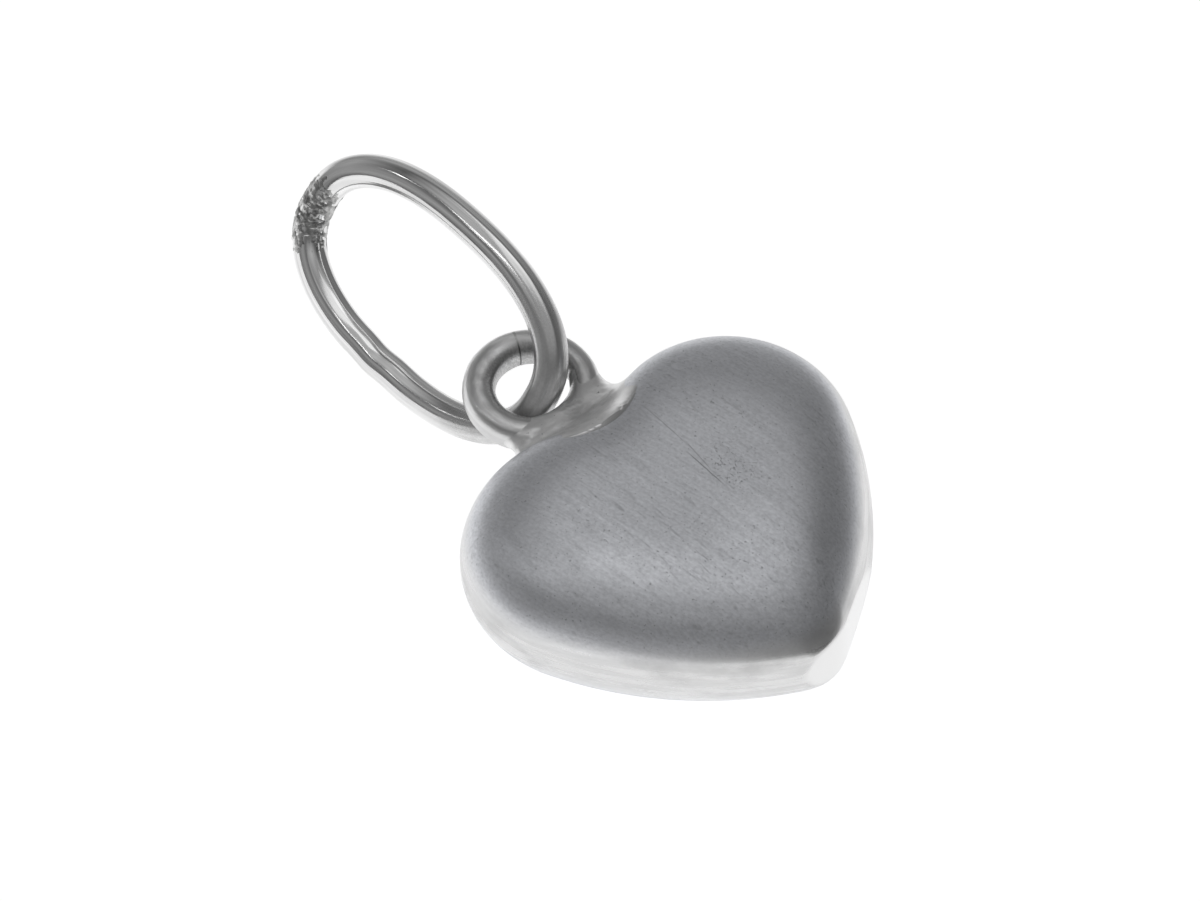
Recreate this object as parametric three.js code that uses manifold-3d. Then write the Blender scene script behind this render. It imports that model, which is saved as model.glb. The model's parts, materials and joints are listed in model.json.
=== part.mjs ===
import * as THREE from 'three';
import * as BufferGeometryUtils from 'three/addons/utils/BufferGeometryUtils.js';
import Module from 'manifold-3d';

// Sizes of the heart, in millimetres
const heartWidth = 12.0;
const heartLength = 10.5;
const heartThickness = 4.56;
const lobeRadius = 3.47;
const tipRadius = 1.2;
const sideRadius = 11.5;
const cleftRadius = 0.86;
const domeOffset = 0.9;
const sheet = 0.4;
const seam = 0.08;
const tipFill = 0.7;

// Shape of the dome: fullness of its section, how much the tip rounds and draws in towards the middle,
// the share over which it does so, how much the cleft opens, and the share that is flat
const domePower = 5;
const tipSpread = 12;
const tipRise = 4;
const tipEase = 0.35;
const cleftSpread = 12;
const flatShare = 0.3;

// The tip as filed: place of the stroke beside the middle, its depth, radius, direction and lean, and
// how far it rolls to either side before it runs straight off
const trimSide = 0.1;
const trimDepth = 0.25;
const trimRadius = 2.17;
const trimTurn = 8;
const trimLean = 2;
const trimLeft = 38;
const trimRight = 23;
const trimRun = 3;

// Sizes of the eye, whose wire is squarish and a little taller than wide, and of the solder that holds it
const eyeWire = 0.85;
const eyeTall = 0.96;
const eyeSquareness = 3;
const eyePlay = 0.57;
const eyeStand = 0.626;
const eyeJointAngle = 65;
const eyeJoint = 0.06;
const saddleDepth = 1.2;
const saddleRoot = 0.57;
const clearance = 0.02;

// Sizes of the bail, the way it lies and the play it has where it leans on the eye
const bailWire = 0.94;
const bailLength = 9.95;
const bailWidth = 5.84;
const bailSquareness = 2.33;
const bailYaw = 90.3;
const bailPitch = -0.7;
const bailJoint = 0.3;
const bailLean = 0.065;

// Sizes that follow from them
const half = heartThickness / 2;
const lobeOffset = heartWidth / 2 - lobeRadius;
const tipDrop = heartLength - lobeRadius;
const cleftMiddle = Math.sqrt((lobeRadius + cleftRadius) ** 2 - lobeOffset ** 2);
const cleftFloor = domeOffset + cleftMiddle - cleftRadius;
const eyeBore = bailWire + 2 * eyePlay;
const eyeRadius = (eyeBore + eyeWire) / 2;
const eyeReach = eyeBore / 2 + eyeWire;
const eyeY = cleftFloor + eyeStand + eyeReach;
const bailA = (bailLength - bailWire) / 2;
const bailB = (bailWidth - bailWire) / 2;

const rad = THREE.MathUtils.degToRad;

// Points of an arc from one angle to another, both ends included
function arc(cx, cy, r, from, to, count) {
  const points = [];
  for (let i = 0; i <= count; i += 1) {
    const t = from + ((to - from) * i) / count;
    points.push(new THREE.Vector2(cx + r * Math.cos(t), cy + r * Math.sin(t)));
  }
  return points;
}

// Heart outline of tangent arcs, moved inwards by an inset, its tip raised by a lift, opened out by a share
function heartOutline(inset, lift, open = 0) {
  const lobe = lobeRadius - inset;
  const cleftSize = cleftRadius + open * cleftSpread;
  const cleft = cleftSize + inset;
  const tipOpen = tipEase * (1 - Math.exp(-open / tipEase));
  const tipSize = tipRadius + tipOpen * tipSpread;
  const tip = tipSize - inset;
  const side = sideRadius - inset;
  const cleftY = Math.sqrt((lobeRadius + cleftSize) ** 2 - lobeOffset ** 2);
  const tipCentre = new THREE.Vector2(0, -tipDrop + tipSize + tipOpen * tipRise + lift);
  const lobeCentre = new THREE.Vector2(lobeOffset, 0);
  const toTip = tipCentre.clone().sub(lobeCentre);
  const span = toTip.length();
  toTip.normalize();
  const a = side - lobe;
  const b = side - tip;
  const along = (a * a - b * b + span * span) / (2 * span);
  const across = Math.sqrt(a * a - along * along);
  const sideCentre = lobeCentre
    .clone()
    .addScaledVector(toTip, along)
    .addScaledVector(new THREE.Vector2(toTip.y, -toTip.x), across);
  const cleftAngle = Math.atan2(-cleftY, lobeOffset);
  const lobeStart = Math.atan2(cleftY, -lobeOffset);
  const lobeEnd = Math.atan2(-sideCentre.y, lobeOffset - sideCentre.x);
  const sideEnd = Math.atan2(tipCentre.y - sideCentre.y, -sideCentre.x);
  const right = [
    ...arc(0, cleftY, cleft, -Math.PI / 2, cleftAngle, 5),
    ...arc(lobeOffset, 0, lobe, lobeStart, lobeEnd, 17).slice(1),
    ...arc(sideCentre.x, sideCentre.y, side, lobeEnd, sideEnd, 11).slice(1),
    ...arc(0, tipCentre.y, tip, sideEnd, -Math.PI / 2, 7).slice(1),
  ];
  const left = right.map((p) => new THREE.Vector2(-p.x, p.y));
  const loop = [...left, ...right.reverse().slice(1, -1)];
  loop.forEach((p) => p.setY(p.y + domeOffset));
  return loop;
}

// Rise of the dome section at a share of the way out, one on the flat and none at the girth
function rise(share) {
  return Math.sqrt(Math.max(0, 1 - share ** domePower) / (1 - flatShare ** domePower));
}

// Rings of a dome from its flat down to the girth, which stands half a seam above the middle plane
function dome(inset, lift, height, count) {
  const rings = [];
  for (let i = 0; i <= count; i += 1) {
    const share = flatShare + (1 - flatShare) * Math.sin((Math.PI / 2) * (i / count));
    const outline = heartOutline(inset, lift, 1 - share);
    const z = seam / 2 + (height - seam / 2) * rise(share);
    rings.push(outline.map((p) => new THREE.Vector3(share * p.x, share * p.y, z)));
  }
  return rings;
}

// Closed skin over a row of rings, with a fan at each end or the last ring joined to the first
function skin(rings, looped) {
  const n = rings[0].length;
  const points = rings.flat();
  const index = [];
  const last = looped ? rings.length : rings.length - 1;
  for (let k = 0; k < last; k += 1) {
    const a = k * n;
    const b = ((k + 1) % rings.length) * n;
    for (let i = 0; i < n; i += 1) {
      const j = (i + 1) % n;
      index.push(a + i, b + i, b + j, a + i, b + j, a + j);
    }
  }
  if (!looped) {
    [rings[0], rings[rings.length - 1]].forEach((ring, end) => {
      const centre = ring.reduce((s, p) => s.add(p), new THREE.Vector3()).divideScalar(n);
      const base = end * (rings.length - 1) * n;
      points.push(centre);
      const c = points.length - 1;
      for (let i = 0; i < n; i += 1) {
        const j = (i + 1) % n;
        index.push(c, base + (end ? j : i), base + (end ? i : j));
      }
    });
  }
  const geometry = new THREE.BufferGeometry().setFromPoints(points);
  geometry.setIndex(index);
  return geometry;
}

// The same solid seen in a mirror that lies in the girth plane
function mirrored(geometry) {
  const copy = geometry.clone().scale(1, 1, -1);
  const index = copy.getIndex();
  for (let i = 0; i < index.count; i += 3) {
    const a = index.getX(i);
    index.setX(i, index.getX(i + 1));
    index.setX(i + 1, a);
  }
  return copy;
}

// Flat curve with a square-shouldered oval form, run between two shares of its turn
class OvalCurve extends THREE.Curve {
  constructor(halfLength, halfWidth, power, from, to) {
    super();
    Object.assign(this, { halfLength, halfWidth, power, from, to });
    this.arcLengthDivisions = 800;
  }

  getPoint(t, target = new THREE.Vector3()) {
    const turn = 2 * Math.PI * (this.from + (this.to - this.from) * t);
    const c = Math.cos(turn);
    const s = Math.sin(turn);
    const e = 2 / this.power;
    const x = this.halfLength * Math.sign(c) * Math.abs(c) ** e;
    const y = this.halfWidth * Math.sign(s) * Math.abs(s) ** e;
    return target.set(x, y, 0);
  }
}

// Section of a wire, its height first: round, or squarish for a power above two
function wireSection(tall, wide, power, sides) {
  const oval = new OvalCurve(tall / 2, wide / 2, power, 0, 1);
  return oval.getPoints(sides).slice(0, -1);
}

// Wire of a section along a flat curve, its two ends cut square
function wire(curve, section, steps) {
  const shape = new THREE.Shape(section.map((p) => new THREE.Vector2(p.x, p.y)));
  return new THREE.ExtrudeGeometry(shape, { steps, extrudePath: curve, bevelEnabled: false });
}

const wasm = await Module();
wasm.setup();

// Closed mesh to a solid that can be cut
function solid(geometry) {
  const bare = new THREE.BufferGeometry();
  bare.setAttribute('position', geometry.getAttribute('position'));
  bare.setIndex(geometry.getIndex());
  const merged = BufferGeometryUtils.mergeVertices(bare, 1e-4);
  const mesh = new wasm.Mesh({
    numProp: 3,
    vertProperties: new Float32Array(merged.getAttribute('position').array),
    triVerts: new Uint32Array(merged.getIndex().array),
  });
  return new wasm.Manifold(mesh);
}

// Cut solid back to a mesh
function surface(body) {
  const mesh = body.getMesh();
  const geometry = new THREE.BufferGeometry();
  const positions = new Float32Array(mesh.vertProperties);
  geometry.setAttribute('position', new THREE.BufferAttribute(positions, 3));
  geometry.setIndex(new THREE.BufferAttribute(new Uint32Array(mesh.triVerts), 1));
  return geometry;
}

const part = new THREE.Group();

// One named piece with its own material
function add(name, geometry, colour, roughness) {
  const material = new THREE.MeshStandardMaterial({ color: colour, roughness, metalness: 1 });
  geometry.computeVertexNormals();
  const mesh = new THREE.Mesh(geometry, material);
  mesh.name = name;
  part.add(mesh);
}

// The two struck half shells, each a dome with a smaller dome hollowed out of it
const outer = heartOutline(0, 0);
const inner = heartOutline(sheet, tipFill);
const outside = dome(0, 0, half, 13);
const inside = dome(sheet, tipFill, half - sheet, 8);
const shell = skin([...outside, ...inside.reverse()], false);

// The file stroke that blunted the tip, rolled over it, set in from the outline and leaning to the front
const trimY = domeOffset - tipDrop + tipRadius - Math.sqrt(tipRadius ** 2 - trimSide ** 2);
const strokeArc = arc(0, trimRadius, trimRadius, rad(-90 - trimLeft), rad(-90 + trimRight), 24);
const runLeft = new THREE.Vector2(-Math.cos(rad(trimLeft)), Math.sin(rad(trimLeft)));
const runRight = new THREE.Vector2(Math.cos(rad(trimRight)), Math.sin(rad(trimRight)));
const strokeLeft = strokeArc[0].clone().addScaledVector(runLeft, trimRun);
const strokeRight = strokeArc[strokeArc.length - 1].clone().addScaledVector(runRight, trimRun);
const stroke = new THREE.Shape([
  strokeLeft,
  ...strokeArc,
  strokeRight,
  new THREE.Vector2(strokeRight.x, -heartWidth / 8),
  new THREE.Vector2(strokeLeft.x, -heartWidth / 8),
]);
const file = new THREE.ExtrudeGeometry(stroke, { depth: heartThickness * 1.4, bevelEnabled: false });
file.translate(0, trimDepth, -heartThickness * 0.7).rotateX(rad(-trimLean)).rotateZ(rad(trimTurn));
file.translate(trimSide, trimY, half);
const filed = solid(file);
const front = solid(shell.clone().translate(0, 0, half)).subtract(filed);
const back = solid(mirrored(shell).translate(0, 0, half)).subtract(filed);
add('front_shell', surface(front), '#94979b', 0.36);
add('back_shell', surface(back), '#94979b', 0.3);

// The solder line between the two shells
const level = (loop, z) => loop.map((p) => new THREE.Vector3(p.x, p.y, half + z));
const bandRings = [
  level(outer, seam / 2),
  level(outer, -seam / 2),
  level(inner, -seam / 2),
  level(inner, seam / 2),
];
add('seam_solder', surface(solid(skin(bandRings, true)).subtract(filed)), '#a9a9a6', 0.4);

// The eye, a ring of squarish wire closed by a film of solder
const eyeGap = eyeJoint / (2 * Math.PI * eyeRadius);
const eyeFrom = eyeJointAngle / 360 + eyeGap / 2;
const eyeCurve = new OvalCurve(eyeRadius, eyeRadius, 2, eyeFrom, eyeFrom + 1 - eyeGap);
const eyeSeal = new OvalCurve(eyeRadius, eyeRadius, 2, eyeFrom - eyeGap, eyeFrom);
const eyeSection = wireSection(eyeTall, eyeWire, eyeSquareness, 20);
const toEye = new THREE.Matrix4().makeTranslation(0, eyeY, half);
add('eye_ring', wire(eyeCurve, eyeSection, 56).applyMatrix4(toEye), '#b4b6b8', 0.22);
add('eye_joint', wire(eyeSeal, eyeSection, 1).applyMatrix4(toEye), '#a3a3a0', 0.4);

// The saddle of solder that fills the cleft and holds the eye, cut to the heart and to the eye
const saddleRings = [];
for (let i = 0; i <= 12; i += 1) {
  const t = i / 12;
  const y = THREE.MathUtils.lerp(cleftFloor - saddleRoot, eyeY - eyeRadius * 0.78, t);
  const round = Math.sqrt(1 - (0.96 * Math.max(0, (t - 0.7) / 0.3)) ** 2);
  const wide = eyeReach * (0.86 + 0.14 * Math.sin(Math.PI * t ** 1.4)) * (0.6 + 0.4 * round);
  const fall = 1 - THREE.MathUtils.smoothstep(t, 0.45, 0.85);
  const deep = THREE.MathUtils.lerp(eyeTall * 0.41, saddleDepth, fall) * round;
  const oval = arc(0, 0, 1, 0, 2 * Math.PI, 32).slice(0, -1);
  saddleRings.push(oval.map((p) => new THREE.Vector3(wide * p.x, y, half + deep * p.y)));
}
const upper = dome(-clearance, 0, half + clearance, 12);
const lower = upper.map((ring) => ring.map((p) => new THREE.Vector3(p.x, p.y, -p.z))).reverse();
const heartBody = solid(skin([...upper, ...lower], false).translate(0, 0, half));
const eyeSkin = wireSection(eyeTall + 2 * clearance, eyeWire + 2 * clearance, eyeSquareness, 20).reverse();
const eyeRings = [];
for (let i = 0; i < 64; i += 1) {
  const turn = (2 * Math.PI * i) / 64;
  const c = Math.cos(turn);
  const s = Math.sin(turn);
  eyeRings.push(eyeSkin.map((p) => new THREE.Vector3((eyeRadius + p.y) * c, (eyeRadius + p.y) * s, p.x)));
}
const eyeRound = skin(eyeRings, true);
const eyeHole = new THREE.CylinderGeometry(eyeRadius, eyeRadius, heartThickness, 64).rotateX(Math.PI / 2);
const saddle = solid(skin(saddleRings, false))
  .subtract(heartBody)
  .subtract(solid(eyeRound.applyMatrix4(toEye)))
  .subtract(solid(eyeHole.applyMatrix4(toEye)));
add('eye_saddle', surface(saddle), '#a8a9a9', 0.34);

// Where the bail lies for a given roll: low side on the table, near end through the eye
const bailLine = new OvalCurve(bailA, bailB, bailSquareness, 0, 1);
const bailPoints = bailLine.getPoints(1200);
function bailPose(roll) {
  const turn = new THREE.Euler(rad(roll), rad(bailPitch), rad(bailYaw), 'ZYX');
  const pose = new THREE.Matrix4().makeRotationFromEuler(turn);
  const points = bailPoints.map((p) => p.clone().applyMatrix4(pose));
  const lift = bailWire / 2 + clearance - Math.min(...points.map((p) => p.z));
  const nearEnd = points.slice(360, 840);
  const at = nearEnd.reduce((a, p) => (Math.abs(p.z + lift - half) < Math.abs(a.z + lift - half) ? p : a));
  const place = new THREE.Vector3(-eyeBore * 0.046 - at.x, eyeY - eyeBore * 0.186 - at.y, lift);
  const gaps = points.map((p) => {
    const aside = Math.abs(Math.hypot(p.x + place.x, p.y + place.y - eyeY) - eyeRadius);
    const above = Math.abs(p.z + lift - half);
    const far = Math.hypot(aside, above);
    const section = (2 * aside / eyeWire) ** eyeSquareness + (2 * above / eyeTall) ** eyeSquareness;
    return far - far / section ** (1 / eyeSquareness) - bailWire / 2;
  });
  return { matrix: pose.setPosition(place), gap: Math.min(...gaps) };
}

// The roll at which the bail leans on the eye with its play
let steep = -85;
let flat = -20;
for (let i = 0; i < 40; i += 1) {
  const middle = (steep + flat) / 2;
  if (bailPose(middle).gap > bailLean) {
    steep = middle;
  } else {
    flat = middle;
  }
}
const toBail = bailPose(steep).matrix;

// The bail, an oval of round wire through the eye, closed by solder at its far end
const bailFrom = Math.asin((bailJoint / (2 * bailB)) ** (bailSquareness / 2)) / (2 * Math.PI);
const bailOpen = new OvalCurve(bailA, bailB, bailSquareness, bailFrom, 1 - bailFrom);
const bailSeal = new OvalCurve(bailA, bailB, bailSquareness, 1 - bailFrom, 1 + bailFrom);
const bailSection = wireSection(bailWire, bailWire, 2, 14);
add('bail_wire', wire(bailOpen, bailSection, 72).applyMatrix4(toBail), '#b4b6b8', 0.18);
add('bail_joint', wire(bailSeal, bailSection, 2).applyMatrix4(toBail), '#9c9c98', 0.45);

export default part;
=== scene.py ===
"""Looks of a small silver heart pendant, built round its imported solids."""

import json
import math
from functools import reduce

import bpy
import numpy as np
from bpy.props import FloatProperty, FloatVectorProperty, PointerProperty
from mathutils import Matrix, Vector


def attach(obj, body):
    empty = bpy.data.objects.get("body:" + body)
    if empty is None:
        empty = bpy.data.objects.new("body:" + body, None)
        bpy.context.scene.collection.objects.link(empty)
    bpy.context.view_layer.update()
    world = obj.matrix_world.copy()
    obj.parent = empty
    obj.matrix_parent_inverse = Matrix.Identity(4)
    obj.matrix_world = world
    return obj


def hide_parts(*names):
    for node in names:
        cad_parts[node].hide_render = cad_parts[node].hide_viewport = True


bl_info = {
    "name": "Heart pendant",
    "version": (1, 0, 0),
    "blender": (4, 5, 0),
    "location": "View3D > Sidebar > Pendant",
    "description": "Puffed silver heart with a soldered eye and an oval wire bail",
    "category": "Add Mesh",
}

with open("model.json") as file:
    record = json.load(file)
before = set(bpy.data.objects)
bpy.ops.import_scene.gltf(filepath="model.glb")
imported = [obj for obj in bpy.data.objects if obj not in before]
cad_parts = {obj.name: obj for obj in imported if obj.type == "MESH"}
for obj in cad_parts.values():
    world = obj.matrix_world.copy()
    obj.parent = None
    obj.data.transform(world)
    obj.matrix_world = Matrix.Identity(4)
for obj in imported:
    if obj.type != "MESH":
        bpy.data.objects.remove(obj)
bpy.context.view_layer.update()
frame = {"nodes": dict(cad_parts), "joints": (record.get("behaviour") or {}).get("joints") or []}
HINGE = frame["joints"][0]["pos_m"]

MM = 0.001
SHARP = math.radians(50)

# Points round a wire, and along cleft, lobe, side and tip of half a ring of each shell
AROUND = 96
FRONT_COUNTS = (16, 120, 120, 45)
BACK_COUNTS = (12, 90, 110, 40)

# Share to which the heart's rings open out, and the rise of the tip in its hollow, in millimetres
FLAT_OPEN = 0.7
HOLLOW_LIFT = 0.7

# The brushing runs on over the left shoulder by a share of the dome, in full at a place in millimetres
BRUSH_OVER = 0.035
BRUSH_SIDE = 5

# Where the eye is worn, and the flats of the bail's draw plate in millimetres:
# depth, count round the wire, phase, and drift, pace and start of the drift along it
WORN_WAY = math.radians(-41.9)
FLATS = (
    (0.0050, 5, 0.0, 0.5, 0.31, 0),
    (0.0035, 9, 1.1, 0.8, 0.43, 1),
    (0.0016, 14, 2.3, 1.1, 0.57, 2),
)

# Kinks of the bail in millimetres: depth, place along the wire and width
KINKS = ((0.02, 4.7, 0.5), (-0.02, 5.3, 0.4), (0.024, 6.0, 0.5))

# Marks on the face in millimetres: middle of the crackle, and middle, turn, reach and depth of scratches
KNOCK = (1.3, -0.5, 4.45)
SCRATCHES = (
    ((0.69, -0.15, 4.3), 0.01, 0.9, 0.7),
    ((0.85, 1.6, 4.3), 0.0, 1.2, 0.4),
    ((0.83, 0.3, 4.3), -0.1, 0.8, 0.4),
)
SCRATCH_WIDTH = 0.02

# Lamps: direction from the heart, size in metres and radiance, all at one distance in metres
LAMP_FAR = 0.35
LAMPS = (
    ("overhead", (0.23, 0.15, 0.96), (0.2, 0.2), 0.55),
    ("strip", (-0.375, 0.37, 0.85), (0.12, 0.013), 2.8),
    ("window", (-0.45, 0.62, 0.64), (0.03, 0.03), 3.0),
)

# Directions in which room and floor change, and greys of the room by the sine of the elevation
BEYOND = (0.668, 0.744, 0.0)
RIGHT = (0.744, -0.668, 0.0)
PAPER_WAY = (0.866, 0.5, 0.0)
ROOM_HEIGHTS = (0.0, 0.08, 0.2, 0.36, 0.54, 0.72, 0.88, 1.0)
NEAR_ROOM = (0.08, 0.1, 0.26, 0.33, 0.19, 0.16, 0.48, 0.28)
FAR_ROOM = (0.3, 0.3, 0.3, 0.34, 0.25, 0.1, 0.48, 0.28)
FLOOR_RADIUS = 0.8


def length(name, description, default):
    """Length property in metres, its default given in millimetres."""
    return FloatProperty(name=name, description=description, default=default * MM, unit="LENGTH", precision=5)


def angle(name, description, default):
    """Angle property, its default given in degrees."""
    return FloatProperty(name=name, description=description, default=math.radians(default), unit="ROTATION")


def plain(name, description, default):
    """Number without a unit."""
    return FloatProperty(name=name, description=description, default=default)


def colour(name, description, default):
    """Linear colour property."""
    return FloatVectorProperty(
        name=name, description=description, default=default, subtype="COLOR", size=3, min=0, max=1
    )


class HeartSizes(bpy.types.PropertyGroup):
    """Sizes of the puffed heart."""

    width: length("Width", "Heart across both lobes", 12.0)
    height: length("Length", "Heart from the lobes' tops to the tip", 10.5)
    thickness: length("Thickness", "Heart from front to back", 4.56)
    lobe: length("Lobe radius", "Radius of each lobe", 3.47)
    tip: length("Tip radius", "Radius of the tip", 1.2)
    side: length("Side radius", "Radius of the long sides", 11.5)
    cleft: length("Cleft radius", "Radius of the cleft between the lobes", 0.86)
    offset: length("Dome offset", "Dome's middle below the lobes' middles", 0.9)
    tip_spread: length("Tip spread", "Growth of the tip radius towards the middle", 12.0)
    tip_rise: length("Tip rise", "Way that the tip draws in towards the middle", 4.0)
    tip_ease: plain("Tip ease", "Share over which the tip rounds and draws in", 0.35)
    cleft_spread: length("Cleft spread", "Growth of the cleft radius towards the middle", 12.0)
    sheet: length("Sheet", "Wall of the shells", 0.4)
    seam: length("Seam", "Height of the solder line at the girth", 0.08)
    power: plain("Fullness", "Power of the dome's section", 5.0)
    trim_side: length("Filing place", "Filed stroke beside the middle of the tip", 0.1)
    trim_depth: length("Filing depth", "Depth of the filed stroke", 0.25)
    trim_radius: length("Filing radius", "Radius of the filed stroke", 2.17)
    trim_turn: angle("Filing turn", "Direction of the stroke about the upright axis", 8)
    trim_lean: angle("Filing lean", "Lean of the stroke towards the front", 2)
    trim_left: angle("Filing left", "Roll of the stroke to the left, before it runs straight off", 38)
    trim_right: angle("Filing right", "Roll of the stroke to the right, before it runs straight off", 23)
    trim_edge: length("Filed edge", "Softness of the filed edge", 0.012)


class LinkSizes(bpy.types.PropertyGroup):
    """Sizes of the eye, its solder and the bail."""

    eye_radius: length("Eye radius", "Middle of the eye's wire", 1.465)
    eye_wire: length("Eye wire", "Wire of the eye", 0.85)
    eye_tall: length("Eye height", "Wire of the eye from front to back", 0.96)
    eye_square: plain("Eye squareness", "Power of the eye wire's section", 2.4)
    eye_shift: length("Bore shift", "Bore of the eye off its middle, where the wire is worn", 0.06)
    eye_joint: angle("Eye joint", "Place of the closing joint round the eye", 65)
    eye_gap: length("Eye joint width", "Width of the closing joint", 0.06)
    lump_reach: length("Solder reach", "Slopes of the solder from the floor of the cleft", 1.015)
    lump_lean: angle("Solder lean", "Slopes of the solder against the table", 44)
    lump_bow: length("Solder bow", "Way that the solder falls back one millimetre beside its middle", 0.0125)
    lump_edge: length("Solder edge", "Rounding where the slopes of front and back meet", 0.15)
    fillet: length("Heart fillet", "Softness between the solder and the heart", 0.4)
    eye_fillet: length("Eye fillet", "Softness between the solder and the eye", 0.62)
    bail_wire: length("Bail wire", "Wire of the bail", 0.94)
    bail_length: length("Bail length", "Bail outside, lengthwise", 9.95)
    bail_width: length("Bail width", "Bail outside, crosswise", 5.84)
    square: plain("Bail squareness", "Power of the bail's oval", 2.33)
    patch: length("Solder patch", "Length of the rough solder at the bail's far end", 2.7)
    patch_at: length("Solder place", "Middle of the rough solder along the wire", 0.43)


class SilverFinish(bpy.types.PropertyGroup):
    """Colours of the silver."""

    satin: colour("Satin", "Brushed face of the heart", (0.72, 0.732, 0.765))
    polished: colour("Polished", "Polished sides and filed tip", (0.74, 0.74, 0.74))
    wire: colour("Wire", "Drawn wire of eye and bail", (0.91, 0.91, 0.91))
    solder: colour("Solder", "Solder of the joints", (0.64, 0.64, 0.635))


class StudioSettings(bpy.types.PropertyGroup):
    """Floor and camera."""

    floor: colour("Floor", "Pale floor", (0.85, 0.85, 0.85))
    azimuth: angle("Azimuth", "Camera round the pendant", -41.9)
    elevation: angle("Elevation", "Camera above the floor", 54.8)
    distance: length("Distance", "Camera from the heart", 241.9)
    shift_right: length("Aim right", "Aim beside the heart's middle", -1.599)
    shift_up: length("Aim up", "Aim above the heart's middle", 1.516)
    lens: plain("Lens", "Focal length in millimetres", 270.0)


def in_mm(group):
    """Values of a property group as a dict, lengths in millimetres."""
    values = {}
    for key in group.__annotations__:
        value = getattr(group, key)
        is_length = group.bl_rna.properties[key].unit == "LENGTH"
        values[key] = value / MM if is_length else value
    return values


# Meshes from arrays


def turns(count):
    """Angles of a whole turn in equal steps."""
    return np.linspace(0, 2 * np.pi, count, endpoint=False)


def grid_faces(rows, columns, closed_rows=False):
    """Quads of a grid whose columns close round; rows close too if asked."""
    i = np.arange(rows if closed_rows else rows - 1)[:, None]
    j = np.arange(columns)[None, :]
    k = (i + 1) % rows
    m = (j + 1) % columns
    quads = np.stack([i * columns + j, k * columns + j, k * columns + m, i * columns + m], -1)
    return quads.reshape(-1, 4)


def fan_faces(ring, centre, flip):
    """Triangles from a closed ring of point numbers to one centre point."""
    after = np.roll(ring, -1)
    sides = (after, ring) if flip else (ring, after)
    return np.stack([np.full(len(ring), centre), *sides], -1)


def closed_faces(rows, columns):
    """Quads of a grid, with a fan from each end row to one of the two points that follow the grid."""
    first = np.arange(columns)
    return [
        grid_faces(rows, columns),
        fan_faces(first, rows * columns, False),
        fan_faces(first + (rows - 1) * columns, rows * columns + 1, True),
    ]


def capped(grid):
    """Points and faces of a closed skin of rings, with a cap at each end."""
    rows, columns = grid.shape[:2]
    ends = np.stack([grid[0].mean(0), grid[-1].mean(0)])
    return np.concatenate([grid.reshape(-1, 3), ends]), closed_faces(rows, columns)


def new_object(name, data):
    """Object linked to the scene."""
    thing = bpy.data.objects.new(name, data)
    bpy.context.scene.collection.objects.link(thing)
    return thing


def new_piece(name, points, faces, body, nodes, material):
    """Smooth mesh from points in millimetres, riding on a body in place of CAD nodes."""
    mesh = bpy.data.meshes.new(name)
    corners = np.concatenate([f.ravel() for f in faces]).astype(np.int32)
    counts = np.concatenate([np.full(len(f), f.shape[1]) for f in faces])
    starts = np.concatenate([[0], np.cumsum(counts)[:-1]]).astype(np.int32)
    mesh.vertices.add(len(points))
    mesh.loops.add(len(corners))
    mesh.polygons.add(len(counts))
    mesh.vertices.foreach_set("co", (points * MM).astype(np.float32).ravel())
    mesh.loops.foreach_set("vertex_index", corners)
    mesh.polygons.foreach_set("loop_start", starts)
    mesh.polygons.foreach_set("use_smooth", np.ones(len(counts), bool))
    mesh.update(calc_edges=True)
    mesh.set_sharp_from_angle(angle=SHARP)
    mesh.materials.append(material)
    piece = new_object(name, mesh)
    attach(piece, body)
    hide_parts(*nodes)
    return piece


def put_attribute(piece, name, values):
    """Point attribute of numbers, or of vectors where the array has three columns."""
    kind, key = ("FLOAT_VECTOR", "vector") if values.ndim == 2 else ("FLOAT", "value")
    attribute = piece.data.attributes.new(name, kind, "POINT")
    attribute.data.foreach_set(key, values.astype(np.float32).ravel())


def lumps(p, scale, seed):
    """Uneven skin of about one: sines of fixed random directions, summed over three sizes."""
    draw = np.random.default_rng(seed)
    total = np.zeros(p.shape[:-1])
    for octave in range(3):
        way = draw.normal(size=(18, 3)) * scale * 2**octave
        phase = draw.uniform(0, 2 * np.pi, 18)
        total += 1.6 * np.sin(p @ way.T + phase).mean(-1) / 1.6**octave
    return total


# The heart


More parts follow.
